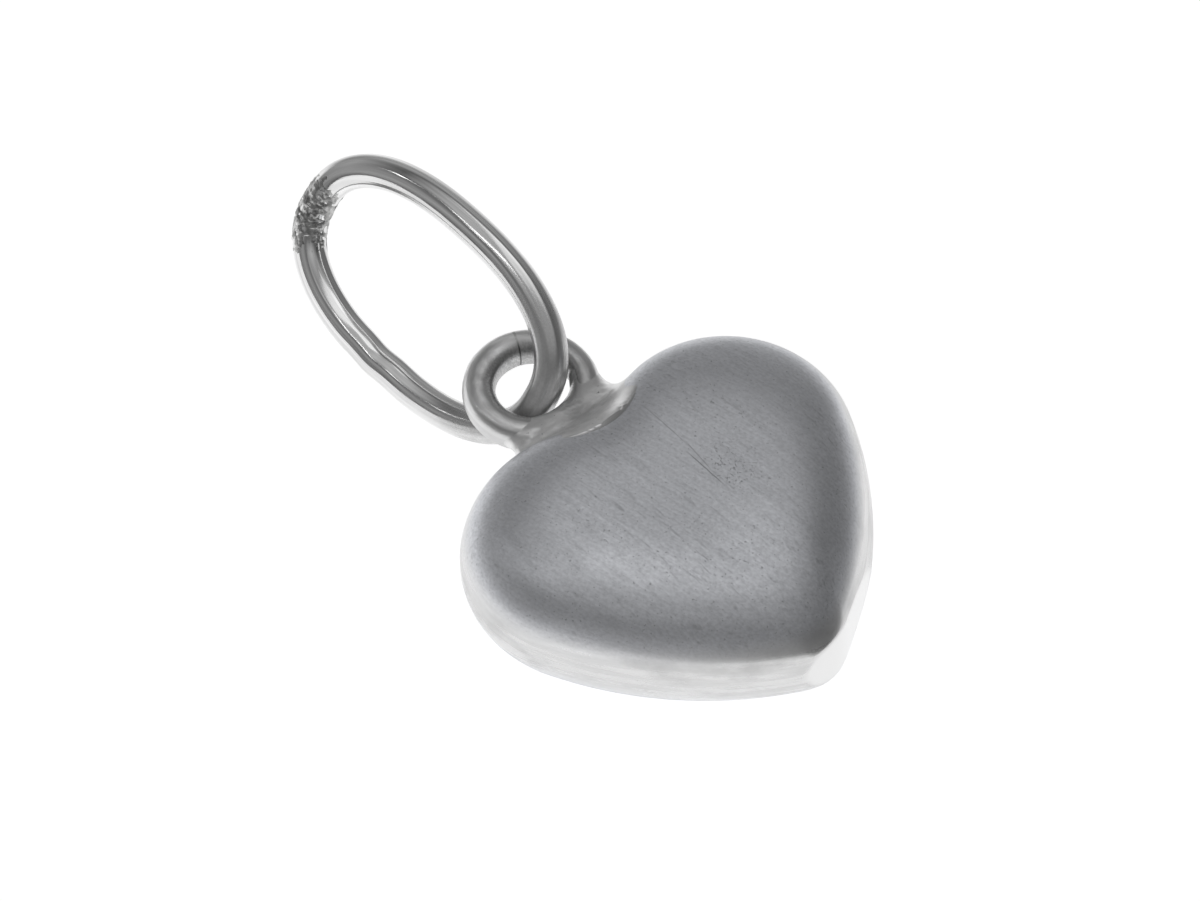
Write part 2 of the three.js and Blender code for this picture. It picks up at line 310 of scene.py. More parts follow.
def heart_rings(heart, share, inset=0.0, lift=0.0, counts=FRONT_COUNTS):
    """Rings of a dome, one row for each share, as x and y.

    A ring is a closed line of arcs that touch: cleft, lobe, side and tip, then the same mirrored. Its
    cleft radius grows with one minus the share, its tip radius and the tip's rise with an exponential
    approach, and the whole ring is shrunk by the share about the dome's middle. An inset moves every
    arc inwards, and a lift raises the tip.
    """
    s = np.asarray(share, float)[:, None]
    across = heart["width"] / 2 - heart["lobe"]
    drop = heart["height"] - heart["lobe"]
    opened = np.minimum(1 - s, FLAT_OPEN)
    cleft = heart["cleft"] + opened * heart["cleft_spread"]
    tip_open = heart["tip_ease"] * (1 - np.exp(-opened / heart["tip_ease"]))
    tip = heart["tip"] + tip_open * heart["tip_spread"]
    cleft_y = np.sqrt((heart["lobe"] + cleft) ** 2 - across**2)
    tip_y = -drop + tip + tip_open * heart["tip_rise"] + lift
    span = np.hypot(across, tip_y)
    to_x, to_y = -across / span, tip_y / span
    a = heart["side"] - heart["lobe"]
    b = heart["side"] - tip
    along = (a**2 - b**2 + span**2) / (2 * span)
    beside = np.sqrt(a**2 - along**2)
    side_x = across + to_x * along + to_y * beside
    side_y = to_y * along - to_x * beside
    lobe_end = np.arctan2(-side_y, across - side_x)
    side_end = np.arctan2(tip_y - side_y, -side_x)
    quarter_turn = np.pi / 2
    arcs = [
        (0.0, cleft_y, cleft + inset, -quarter_turn, np.arctan2(-cleft_y, across)),
        (across, 0.0, heart["lobe"] - inset, np.arctan2(cleft_y, -across), lobe_end),
        (side_x, side_y, heart["side"] - inset, lobe_end, side_end),
        (0.0, tip_y, tip - inset, side_end, -quarter_turn),
    ]
    xs, ys = [], []
    for k, (cx, cy, r, start, end) in enumerate(arcs):
        t = np.arange(counts[k]) / counts[k]
        if k == 2:  # the side's points crowd towards the tip
            t = 0.5 * t + 0.5 * t * (2 - t)
        turn = start + (end - start) * t
        xs.append(cx + r * np.cos(turn))
        ys.append(cy + r * np.sin(turn))
    last_y = tip_y - (tip - inset)
    x = np.concatenate([*xs, np.zeros_like(s)], 1)
    y = np.concatenate([*ys, last_y], 1)
    x = np.concatenate([-x, x[:, -2:0:-1]], 1)
    y = np.concatenate([y, y[:, -2:0:-1]], 1)
    return x * s, (y + heart["offset"]) * s


def dome_height(heart, share, top):
    """Height of a dome over the middle plane: half a seam, rising as the root of 1 - share^power."""
    base = heart["seam"] / 2
    return base + (top - base) * np.sqrt(np.maximum(0.0, 1 - np.asarray(share) ** heart["power"]))


def dome_shares(heart, count, low=0.02):
    """Shares from the middle to the girth, evenly spaced along the section and closer near the girth."""
    s = 1 - np.linspace(1 - low, 0, 6000) ** 2
    s = np.sort(low + (1 - low) * (s - s.min()) / (s.max() - s.min()))
    half = heart["thickness"] / 2
    z = dome_height(heart, s, half)
    step = np.hypot(np.diff(s) * heart["width"] / 2, np.diff(z))
    weight = np.where(z[1:] < half * 0.52, 2.2, 1.0)
    run = np.concatenate([[0], np.cumsum(step * weight)])
    return np.interp(np.linspace(0, run[-1], count), run, s)


def file_tip(heart, points):
    """Blunts the tip with one stroke of a file that rolls over it, and says how far each point is filed.

    Seen from above the stroke is an arc that runs straight off at both ends, turned about the vertical and
    leaning to the front. A point beyond it moves back at right angles to it, through a soft maximum that
    rounds the edge.
    """
    half = heart["thickness"] / 2
    turn, radius, depth, tip = heart["trim_turn"], heart["trim_radius"], heart["trim_depth"], heart["tip"]
    at = np.array([heart["trim_side"], heart["offset"] + heart["lobe"] - heart["height"] + tip])
    at[1] -= math.sqrt(tip**2 - at[0] ** 2)
    q = points[:, :2] - at
    a = q @ [math.cos(turn), math.sin(turn)]
    b = q @ [math.sin(turn), -math.cos(turn)] + depth + radius
    wall = radius - (points[:, 2] - half) * math.tan(heart["trim_lean"])
    roll = np.clip(np.arctan2(a, b), -heart["trim_left"], heart["trim_right"])
    over = np.where(b > 0, a * np.sin(roll) + b * np.cos(roll) - wall, -1.0)
    back = heart["trim_edge"] * np.logaddexp(0, over / heart["trim_edge"])
    a, b = a - back * np.sin(roll), b - back * np.cos(roll) - depth - radius
    moved = points.copy()
    moved[:, 0] = at[0] + a * math.cos(turn) + b * math.sin(turn)
    moved[:, 1] = at[1] + a * math.sin(turn) - b * math.cos(turn)
    return moved, np.clip(over / (5 * heart["trim_edge"]), 0, 1)


def brushed_share(share, points):
    """Share of the dome as the finish reads it, lowered to the left, where the brushing runs on."""
    return share - BRUSH_OVER * np.clip(-points[:, 0] / BRUSH_SIDE, 0, 1)


def shell_grid(heart, outside, counts):
    """Half shell as rows of rings: the outside from its middle to the girth, then the inside back."""
    half = heart["thickness"] / 2
    inside = dome_shares(heart, 10)[::-1]
    x1, y1 = heart_rings(heart, outside, counts=counts)
    x2, y2 = heart_rings(heart, inside, heart["sheet"], HOLLOW_LIFT, counts=counts)
    z1 = dome_height(heart, outside, half)
    z2 = dome_height(heart, inside, half - heart["sheet"])
    x = np.concatenate([x1, x2])
    y = np.concatenate([y1, y2])
    z = np.concatenate([z1, z2])[:, None] + 0 * x
    return np.stack([x, y, z], -1)


def build_shell(name, heart, rings, counts, side, material):
    """Closed half shell, side +1 for the front and -1 for the back, with its tip filed."""
    half = heart["thickness"] / 2
    outside = dome_shares(heart, rings)
    grid = shell_grid(heart, outside, counts)
    rows, columns = grid.shape[:2]
    middles = np.array([[0, 0, half], [0, 0, half - heart["sheet"]]])
    points = np.concatenate([grid.reshape(-1, 3), middles])
    points[:, 2] = half + side * points[:, 2]
    skin = rings * columns
    points[:skin], facet = file_tip(heart, points[:skin])
    faces = closed_faces(rows, columns)
    if side < 0:
        faces = [f[:, ::-1] for f in faces]
    piece = new_piece(name, points, faces, "heart", [name.removesuffix("_dome")], material)
    hidden = len(points) - skin
    share = np.concatenate([np.repeat(outside, columns), np.ones(hidden)])
    put_attribute(piece, "share", brushed_share(share, points))
    put_attribute(piece, "facet", np.concatenate([facet, np.zeros(hidden)]))


class PENDANT_OT_shells(bpy.types.Operator):
    """Two struck half shells of the heart, satin on the face and polished round the sides"""

    bl_idname = "pendant.shells"
    bl_label = "Heart shells"

    def execute(self, context):
        heart = in_mm(context.scene.pendant_heart)
        finish = context.scene.pendant_finish
        satin = satin_silver("satin_face", finish.satin, finish.polished)
        build_shell("front_shell_dome", heart, 120, FRONT_COUNTS, 1, satin)
        build_shell("back_shell_dome", heart, 70, BACK_COUNTS, -1, satin)
        return {"FINISHED"}


class PENDANT_OT_seam(bpy.types.Operator):
    """Line of solder round the girth, filed flush"""

    bl_idname = "pendant.seam"
    bl_label = "Seam solder"

    def execute(self, context):
        heart = in_mm(context.scene.pendant_heart)
        half = heart["thickness"] / 2
        level = np.array([1, 0.4, -0.4, -1]) * heart["seam"] / 2
        x, y = heart_rings(heart, np.ones(4))
        outside = np.stack([x, y, half + level[:, None] + 0 * x], -1)
        x, y = heart_rings(heart, np.ones(2), heart["sheet"], HOLLOW_LIFT)
        inside = np.stack([x, y, half + level[[3, 0], None] + 0 * x], -1)
        points = np.concatenate([outside, inside])
        rows, columns = points.shape[:2]
        points = points.reshape(-1, 3)
        skin = len(outside) * columns
        points[:skin], facet = file_tip(heart, points[:skin])
        faces = [grid_faces(rows, columns, closed_rows=True)]
        material = bpy.data.materials["satin_face"]
        piece = new_piece("seam_line", points, faces, "heart", ["seam_solder"], material)
        put_attribute(piece, "share", brushed_share(1, points))
        put_attribute(piece, "facet", np.concatenate([facet, np.zeros(len(points) - skin)]))
        return {"FINISHED"}


# Wire


def tube(line, normal, binormal, radius):
    """Wire: at each point of a line a circle in its normal plane. The radius may vary along and around."""
    turn = turns(AROUND)
    ring = np.cos(turn)[None, :, None] * normal[:, None] + np.sin(turn)[None, :, None] * binormal[:, None]
    reach = np.broadcast_to(radius, (len(line), AROUND))
    return line[:, None] + reach[..., None] * ring


def squarish(wide, tall, power):
    """Reach of a wire's section at each angle: the power mean of width and height.

    Each row of wide has the width on the side of the normal and on the other side.
    """
    turn = turns(AROUND)
    across, up = np.abs(np.cos(turn)), np.abs(np.sin(turn))
    wide = np.where(np.cos(turn) > 0, wide[:, :1], wide[:, 1:])
    return ((2 * across / wide) ** power + (2 * up / tall) ** power) ** (-1 / power)


def drawn_flats(run):
    """Faint flats of the draw plate: cosines round the wire whose phases drift along it, in millimetres."""
    turn, run = turns(AROUND)[None, :], run[:, None]
    return sum(
        depth * np.cos(count * turn + phase + drift * np.sin(pace * run + late))
        for depth, count, phase, drift, pace, late in FLATS
    )


def grain(run, radius):
    """Wire coordinates that don't break round the wire: length along it, and the two sides of its section.

    The two points of the caps come last, with zeros.
    """
    along = np.repeat(run[:, None], AROUND, 1)
    sides = np.stack([radius * np.cos(turns(AROUND)), radius * np.sin(turns(AROUND))], -1)
    sides = np.broadcast_to(sides, (len(run), AROUND, 2))
    values = np.concatenate([along[..., None], sides], -1).reshape(-1, 3)
    return np.concatenate([values, np.zeros((2, 3))])


class PENDANT_OT_eye(bpy.types.Operator):
    """Ring of squarish wire that stands in the cleft, with its closing joint"""

    bl_idname = "pendant.eye"
    bl_label = "Eye"

    def execute(self, context):
        link = in_mm(context.scene.pendant_link)
        finish = context.scene.pendant_finish
        gap = link["eye_gap"] / (2 * link["eye_radius"])
        start = link["eye_joint"] + gap
        end = start + 2 * np.pi - 2 * gap
        silver = wire_silver("eye_silver", finish.wire, 0.16, 0.34)
        solder = solder_silver("eye_solder", times(finish.solder, 0.85), 0.4, 8e-6, 0.25)
        self.ring("eye_wire", link, start, end, 1.0, "polished_silver", ["eye_ring"], silver)
        self.ring("eye_closing", link, start - 2 * gap, start, 0.975, "silver_solder", ["eye_joint"], solder)
        return {"FINISHED"}

    def ring(self, name, link, start, end, swell, slot, nodes, material):
        """Part of a ring of squarish, uneven wire between two angles, thinner where its bore is worn, with
        painted shade that darkens the inner side of its bore.
        """
        count = max(4, int(round(300 * (end - start) / (2 * np.pi))))
        turn = np.linspace(start, end, count)
        out = np.stack([np.cos(turn), np.sin(turn), 0 * turn], -1)
        line = np.array(HINGE) / MM + link["eye_radius"] * out
        up = np.broadcast_to([0.0, 0.0, 1.0], out.shape)
        worn = link["eye_wire"] - 2 * link["eye_shift"] * np.cos(turn - WORN_WAY)
        wide = np.stack([worn, 0 * worn + link["eye_wire"]], -1)
        inner = np.clip(2 * np.cos(turns(AROUND)) - 0.2, 0, 1)
        reach = (1 + (swell - 1) * inner) * squarish(wide, link["eye_tall"], link["eye_square"])
        reach = reach + 0.009 * lumps(tube(line, -out, up, reach), 2.6, 3)
        points, faces = capped(tube(line, -out, up, reach))
        piece = new_piece(name, points, faces, "heart", nodes, material)
        put_attribute(piece, "grain", grain(turn * link["eye_radius"], link["eye_wire"] / 2))
        put_attribute(piece, "dull", np.ones(len(points)))
        # painted shade: the wire's colour darkens on the inner side of the bore
        put_attribute(piece, "painted_shade", np.concatenate([np.tile(inner, count), np.zeros(2)]))


# The solder between eye and heart


def cleft_gap(heart, p):
    """Signed gap from points to the heart's surface near its cleft.

    At a point's height the dome has one ring. Beside the cleft's arc the gap is measured from its circle,
    elsewhere from the lobe's circle, and the dome's slope turns the level gap into an upright one. The slope
    is taken at a middling way from the dome's middle to the cleft.
    """
    half = heart["thickness"] / 2
    way_in = 3.5
    rise = np.clip((np.abs(p[..., 2] - half) - heart["seam"] / 2) / (half - heart["seam"] / 2), 0, 0.995)
    s = (1 - rise**2) ** (1 / heart["power"])
    across = (heart["width"] / 2 - heart["lobe"]) * s
    lobe = heart["lobe"] * s
    cleft = (heart["cleft"] + (1 - s) * heart["cleft_spread"]) * s
    lobe_y = heart["offset"] * s
    cleft_y = lobe_y + np.sqrt((lobe + cleft) ** 2 - across**2)
    x, y = np.abs(p[..., 0]), p[..., 1]
    in_cleft = x * (cleft_y - lobe_y) < across * (cleft_y - y)
    level = np.where(in_cleft, cleft - np.hypot(x, y - cleft_y), np.hypot(x - across, y - lobe_y) - lobe)
    slope = way_in * rise / (half * heart["power"] / 2) * (1 - rise**2) ** (1 / heart["power"] - 1)
    return level / np.sqrt(1 + slope**2)


def soft_least(a, b, reach):
    """Smaller of two gaps, rounded where they differ by less than the reach."""
    near = np.maximum(reach - np.abs(a - b), 0) / reach
    return np.minimum(a, b) - near**2 * reach / 4


def lump_gap(heart, link, p):
    """Gap to the solder in the cleft: two slopes from front and back that meet in a rounded edge at the eye.

    It is the way past the floor of the cleft times the sine of the lean, plus the height over the middle
    plane times the cosine, less the reach. The bow times the fourth power of the way aside is added.
    """
    across = heart["width"] / 2 - heart["lobe"]
    floor = heart["offset"] + math.sqrt((heart["lobe"] + heart["cleft"]) ** 2 - across**2) - heart["cleft"]
    above = np.hypot(p[..., 2] - heart["thickness"] / 2, link["lump_edge"])
    slope = (p[..., 1] - floor) * math.sin(link["lump_lean"]) + above * math.cos(link["lump_lean"])
    return slope - link["lump_reach"] + link["lump_bow"] * p[..., 0] ** 4


def eye_gap(link, q):
    """Gap to the eye's squarish wire, measured towards the middle of its section."""
    power = link["eye_square"]
    aside = np.abs(np.hypot(q[..., 0], q[..., 1]) - link["eye_radius"]) + 1e-6
    above = np.abs(q[..., 2])
    level = (2 * aside / link["eye_wire"]) ** power + (2 * above / link["eye_tall"]) ** power
    return np.hypot(aside, above) * (1 - level ** (-1 / power))


def saddle_gap(heart, link, centre, p):
    """Signed gap to heart, lump and eye run together, uneven where free, sunk so that only solder shows."""
    eye = eye_gap(link, p - centre)
    cleft = cleft_gap(heart, p)
    body = soft_least(lump_gap(heart, link, p), cleft, link["fillet"])
    free = np.clip(np.minimum(eye, cleft) / 0.12, 0, 1)
    sunk = 0.012 + 0.008 * np.clip(1 - eye / 0.03, 0, 1)
    return soft_least(eye, body, link["eye_fillet"]) + sunk - 0.022 * free * lumps(p, 4.0, 8)


class PENDANT_OT_saddle(bpy.types.Operator):
    """Solder that runs from the eye into the cleft in one smooth fillet"""

    bl_idname = "pendant.saddle"
    bl_label = "Saddle solder"

    def execute(self, context):
        heart = in_mm(context.scene.pendant_heart)
        link = in_mm(context.scene.pendant_link)
        finish = context.scene.pendant_finish
        centre = np.array(HINGE) / MM
        points, faces = capped(self.surface(heart, link, centre))
        material = solder_silver("saddle_solder", times(finish.polished, 1.24), 0.38, 2e-5, 0.78)
        piece = new_piece("saddle_fillet", points, faces, "heart", ["eye_saddle"], material)
        # painted shade: the solder's colour darkens in the creases where it meets the eye and the heart
        from_join = np.minimum(eye_gap(link, points - centre) / 0.1, np.abs(cleft_gap(heart, points)) / 0.06)
        put_attribute(piece, "painted_shade", np.clip(1 - from_join, 0, 1))
        return {"FINISHED"}

    def surface(self, heart, link, centre):
        """Rays from inside the solder, followed in steps, then halves, to where the gap turns positive."""
        start = centre + [0, -link["eye_radius"] - 0.35, 0]
        down = np.linspace(0.03, np.pi - 0.03, 150)[:, None]
        about = turns(240)[None, :]
        ray = np.stack(
            [np.sin(down) * np.cos(about), np.cos(down) + 0 * about, -np.sin(down) * np.sin(about)], -1
        )
        far = 2.6
        steps = np.linspace(0.12, far, 125)
        found = np.full(ray.shape[:2], far)
        open_rays = np.ones(ray.shape[:2], bool)
        for step in steps:
            outside = saddle_gap(heart, link, centre, start + ray * step) > 0
            found = np.where(outside & open_rays, step, found)
            open_rays &= ~outside
        low = np.where(open_rays, far, found - (steps[1] - steps[0]))
        high = found
        for _ in range(14):
            middle = (low + high) / 2
            outside = saddle_gap(heart, link, centre, start + ray * middle[..., None]) > 0
            high = np.where(outside, middle, high)
            low = np.where(outside, low, middle)
        return start + ray * ((low + high) / 2)[..., None]


# The bail


def bail_frame():
    """Middle, long axis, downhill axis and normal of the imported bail, from the spread of its points."""
    arrays = []
    for name in ("bail_wire", "bail_joint"):
        mesh = frame["nodes"][name].data
        co = np.empty(len(mesh.vertices) * 3, np.float32)
        mesh.vertices.foreach_get("co", co)
        arrays.append(co.reshape(-1, 3).astype(float) / MM)
    wire = arrays[0] - arrays[0].mean(0)
    axes = np.linalg.eigh(wire.T @ wire)[1]
    longways = axes[:, 2] * np.sign(axes[1, 2])
    down = axes[:, 1] * -np.sign(axes[2, 1])
    normal = np.cross(longways, down)
    turned = np.stack([longways, down, normal], 1)
    local = np.concatenate(arrays) @ turned
    middle = (local.min(0) + local.max(0)) / 2
    return turned @ middle, longways, down, normal


def bail_line(link, count):
    """Oval of the bail in its own plane, a superellipse in equal steps from its far end, with its run."""
    a = (link["bail_length"] - link["bail_wire"]) / 2
    b = (link["bail_width"] - link["bail_wire"]) / 2
    turn = np.linspace(0, 2 * np.pi, 8001)
    c, s = np.cos(turn), np.sin(turn)
    power = 2 / link["square"]
    x = a * np.sign(c) * np.abs(c) ** power
    y = b * np.sign(s) * np.abs(s) ** power
    run = np.concatenate([[0], np.cumsum(np.hypot(np.diff(x), np.diff(y)))])
    even = np.linspace(0, run[-1], count)
    return np.stack([np.interp(even, run, x), np.interp(even, run, y)], -1), even


class PENDANT_OT_bail(bpy.types.Operator):
    """Oval of round wire through the eye, with rough solder where it closes"""

    bl_idname = "pendant.bail"
    bl_label = "Bail"

    def execute(self, context):
        link = in_mm(context.scene.pendant_link)
        finish = context.scene.pendant_finish
        radius = link["bail_wire"] / 2
        self.place = bail_frame()
        flat, run = bail_line(link, 1001)
        ahead = np.gradient(flat, axis=0)
        ahead /= np.linalg.norm(ahead, axis=1)[:, None]
        bend = sum(deep * np.exp(-(((run - at) / wide) ** 2)) for deep, at, wide in KINKS)
        flat = flat + bend[:, None] * np.stack([-ahead[:, 1], ahead[:, 0]], -1)
        whole = run[-1]
        cut = 0.15
        middle = (run > cut) & (run < whole - cut)
        silver = wire_silver("bail_silver", finish.wire, 0.12, 0.34)
        self.wire(flat[middle], ahead[middle], run[middle], radius, silver)
        reach = link["patch"] / 2
        from_end = np.where(run > whole / 2, run - whole, run) - link["patch_at"]
        order = np.argsort(from_end[:-1])
        near = order[np.abs(from_end[:-1][order]) < reach]
        solder = solder_silver("bail_solder", times(finish.solder, 0.8), 0.3, 3e-5, grit=3.0)
        self.patch(flat[near], ahead[near], from_end[near], radius, reach, solder)
        return {"FINISHED"}

    def spread(self, flat, ahead):
        """Line and its two cross directions in the pendant's frame."""
        middle, longways, down, normal = self.place
        line = middle + flat[:, :1] * longways + flat[:, 1:] * down
        inward = -ahead[:, 1:] * longways + ahead[:, :1] * down
        return line, inward, np.broadcast_to(normal, line.shape)

    def wire(self, flat, ahead, run, radius, material):
        """The wire itself, with caps inside the solder, duller in its half near the eye, where painted shade
        also darkens it a little.
        """
        line, inward, normal = self.spread(flat, ahead)
        points, faces = capped(tube(line, inward, normal, radius + drawn_flats(run)))
        piece = new_piece("bail_oval", points, faces, "bail", ["bail_wire"], material)
        whole = run[-1] + run[0]
        near = np.repeat(np.exp(-(((run - whole / 2) / 3.2) ** 4)), AROUND)
        put_attribute(piece, "grain", grain(run, radius))
        put_attribute(piece, "dull", np.concatenate([near, np.ones(2)]))
        # painted shade: the half by the eye is darkened a little where it runs into the eye
        put_attribute(piece, "painted_shade", np.concatenate([near * 0.3, np.zeros(2)]))

    def patch(self, flat, ahead, run, radius, reach, material):
        """Lumpy sleeve of solder, thickest at the joint and fading into the wire at both ends."""
        line, inward, normal = self.spread(flat, ahead)
        smooth = tube(line, inward, normal, radius)
        fade = np.clip(1 - (np.abs(run) / reach) ** 2, 0, 1)[:, None]
        torn = np.abs(lumps(smooth, 7.0, 4)) - 0.25
        swell = fade * (0.014 + 0.022 * lumps(smooth, 22.0, 5) - 0.05 * torn) - 0.012 * (1 - fade)
        points, faces = capped(tube(line, inward, normal, radius + swell))
        new_piece("bail_closing", points, faces, "bail", ["bail_joint"], material)


# Materials


def put_node(tree, kind, inputs=None, **settings):
    """Node with its settings; an input is a value or another node's socket."""
    node = tree.nodes.new(kind)
    for key, value in settings.items():
        setattr(node, key, value)
    for key, value in (inputs or {}).items():
        if isinstance(value, bpy.types.NodeSocket):
            tree.links.new(value, node.inputs[key])
        else:
            node.inputs[key].default_value = value
    return node


def follow(kind, inputs, **settings):
    """Node in the tree of the sockets that lead to it."""
    tree = next(value.id_data for value in inputs.values() if isinstance(value, bpy.types.NodeSocket))
    return put_node(tree, kind, inputs, **settings)


def new_metal(name):
    """Node material with a metal shader."""
    material = bpy.data.materials.new(name)
    material.use_nodes = True
    tree = material.node_tree
    tree.nodes["Principled BSDF"].inputs["Metallic"].default_value = 1.0
    return material, tree


def finish_metal(tree, base, rough, height, strength, depth):
    """Links colour, roughness and a bump of a depth in metres to the metal shader."""
    shader = tree.nodes["Principled BSDF"]
    bump = follow("ShaderNodeBump", {"Strength": strength, "Distance": depth, "Height": height})
    tree.links.new(base, shader.inputs["Base Color"])
    tree.links.new(rough, shader.inputs["Roughness"])
    tree.links.new(bump.outputs[0], shader.inputs["Normal"])


def object_place(tree):
    """Place on the piece in metres."""
    return put_node(tree, "ShaderNodeTexCoord").outputs["Object"]


def attribute(tree, name, output="Fac"):
    """Point attribute of the piece."""
    return put_node(tree, "ShaderNodeAttribute", attribute_name=name).outputs[output]


def stretched_noise(vector, scale, detail=3.0, turn=0.0, rough=0.55):
    """Noise of a different scale each way, turned about the upright, for brush and draw lines."""
    stretch = {"Vector": vector, "Rotation": (0, 0, turn), "Scale": [1 / s for s in scale]}
    mapping = follow("ShaderNodeMapping", stretch, vector_type="TEXTURE")
    shape = {"Vector": mapping.outputs[0], "Scale": 1.0, "Detail": detail, "Roughness": rough}
    return follow("ShaderNodeTexNoise", shape).outputs["Fac"]


def ranged(value, low, high, to_low=0.0, to_high=1.0, smooth=False):
    """Value taken from one range to another, held at its ends."""
    kind = "SMOOTHSTEP" if smooth else "LINEAR"
    inputs = {0: value, 1: low, 2: high, 3: to_low, 4: to_high}
    return follow("ShaderNodeMapRange", inputs, interpolation_type=kind).outputs[0]


def sums(operation, *values):
    """Numbers or sockets taken together by one operation, from the left."""
    def pair(a, b):
        return follow("ShaderNodeMath", {0: a, 1: b}, operation=operation).outputs[0]
    return reduce(pair, values)


def product(a, b):
    """Product of two numbers or sockets."""
    return sums("MULTIPLY", a, b)


def vectors(operation, a, b, output=0):
    """One sum of two vectors or sockets."""
    return follow("ShaderNodeVectorMath", {0: a, 1: b}, operation=operation).outputs[output]


def mixed(share, a, b):
    """Two colours mixed by a share."""
    a, b = (c if isinstance(c, bpy.types.NodeSocket) else (*c, 1.0) for c in (a, b))
    return follow("ShaderNodeMix", {"Factor": share, 6: a, 7: b}, data_type="RGBA").outputs[2]


def blend(share, a, b):
    """Two numbers mixed by a share."""
    return follow("ShaderNodeMix", {"Factor": share, 2: a, 3: b}).outputs[0]


def times(c, k):
    """Colour made darker or lighter."""
    return tuple(min(1.0, v * k) for v in c)


def crackle(place):
    """Net of hair cracks inside a soft ragged spot: edges of random cells, broken up by noise."""
    scale = (6000, 4000, 4000)
    shift = tuple(-v * k * MM for v, k in zip(KNOCK, scale))
    spread = follow("ShaderNodeMapping", {"Vector": place, "Location": shift, "Scale": scale}).outputs[0]
    wobble = follow("ShaderNodeTexNoise", {"Vector": spread, "Scale": 1.3, "Detail": 4.0})
    moved = vectors("MULTIPLY", wobble.outputs["Color"], (1.1, 1.1, 1.1))
    moved = vectors("ADD", spread, moved)
    cells = follow("ShaderNodeTexVoronoi", {"Vector": moved, "Scale": 1.0},
                   feature="DISTANCE_TO_EDGE", voronoi_dimensions="2D")
    line = ranged(cells.outputs["Distance"], 0.02, 0.1, 1.0, 0.0)
    broken = ranged(stretched_noise(moved, (2.2, 2.2, 2.2), 2.0), 0.48, 0.58)
    from_knock = vectors("LENGTH", spread, (0, 0, 0), "Value")
    ragged = sums("ADD", from_knock, ranged(wobble.outputs["Fac"], 0.3, 0.7, -2.2, 2.2))
    spot = ranged(ragged, 0.8, 5.0, 0.9, 0.0, True)
    return sums("MULTIPLY", line, broken, spot)


def scratch(place, at, turn, reach):
    """Thin scratch on the front: dark near its middle line, fading out to its reach on either side."""
    scale = (SCRATCH_WIDTH * MM, reach * MM, MM)
    stretch = {"Vector": place, "Location": [v * MM for v in at], "Rotation": (0, 0, turn), "Scale": scale}
    mapping = follow("ShaderNodeMapping", stretch, vector_type="TEXTURE")
    ways = follow("ShaderNodeSeparateXYZ", {0: mapping.outputs[0]}).outputs
    across, along, deep = (follow("ShaderNodeMath", {0: w}, operation="ABSOLUTE").outputs[0] for w in ways)
    across = ranged(across, 0.4, 1.0, 1.0, 0.0)
    along = ranged(along, 0.4, 1.0, 1.0, 0.0, True)
    return sums("MULTIPLY", across, along, ranged(deep, 0.8, 1.0, 1.0, 0.0))


def satin_silver(name, satin, polished):
    """Brushed face that turns into polished sides by the dome's share, with a bright filed tip."""
    material, tree = new_metal(name)
    place = object_place(tree)
    facet = attribute(tree, "facet")
    polish = ranged(attribute(tree, "share"), 0.9, 0.968, smooth=True)
    face = sums("SUBTRACT", 1.0, sums("MAXIMUM", polish, facet))

    # brush lines along the heart, short darker strokes, specks, and the crackle and scratches of a knock
    fine = stretched_noise(place, (17000, 600, 17000), 4.0, 0.24)
    broad = stretched_noise(place, (5200, 320, 5200), 3.0, 0.08)
    cloud = stretched_noise(place, (420, 420, 420), 3.0)
    sand = stretched_noise(place, (12500, 9000, 12500), 2.0, 0.26)
    lines = sums("ADD", product(fine, 0.3), product(broad, 0.22), product(sand, 0.48))
    stroke = stretched_noise(place, (8500, 1000, 8500), 2.0, 0.03)
    stroke = ranged(stroke, 0.6, 0.72)
    stroke = product(stroke, ranged(cloud, 0.4, 0.62, 0.15, 1.0))
    speck = stretched_noise(place, (16000, 11000, 16000), 1.0, 0.24, 0.5)
    speck = ranged(speck, 0.69, 0.75)
    cuts = [product(scratch(place, at, turn, reach), depth) for at, turn, reach, depth in SCRATCHES]
    knock = sums("MAXIMUM", crackle(place), *cuts)
    dark = [product(stroke, 0.32), product(speck, 0.5), product(knock, 0.9)]
    brushed = mixed(ranged(lines, 0.32, 0.68), times(satin, 0.81), times(satin, 1.15))
    brushed = mixed(sums("MAXIMUM", *dark), brushed, times(satin, 0.3))

    # polishing lines that run round the sides, and the mirror of the filed tip
    turned = stretched_noise(place, (450, 450, 5000), 4.0)
    blotch = stretched_noise(place, (700, 700, 1100), 4.0)
    sides = mixed(ranged(turned, 0.34, 0.66), times(polished, 0.9), times(polished, 1.02))
    sides = mixed(ranged(blotch, 0.5, 0.68, 0.0, 0.7), sides, times(polished, 0.74))
    base = mixed(facet, mixed(polish, brushed, sides), times(polished, 1.12))

    rough_face = ranged(cloud, 0.3, 0.7, 0.38, 0.46)
    rough_face = sums("ADD", rough_face, ranged(lines, 0.3, 0.7, 0.05, -0.05))
    rough_side = ranged(turned, 0.3, 0.7, 0.34, 0.22)
    rough = blend(facet, blend(polish, rough_face, rough_side), 0.18)
    marks = sums("ADD", product(stroke, 0.5), product(speck, 1.2), product(knock, 2.0))
    height = product(sums("SUBTRACT", lines, marks), face)
    height = sums("ADD", height, product(turned, product(polish, 0.8)))
    finish_metal(tree, base, rough, height, 0.6, 3.5e-6)
    return material


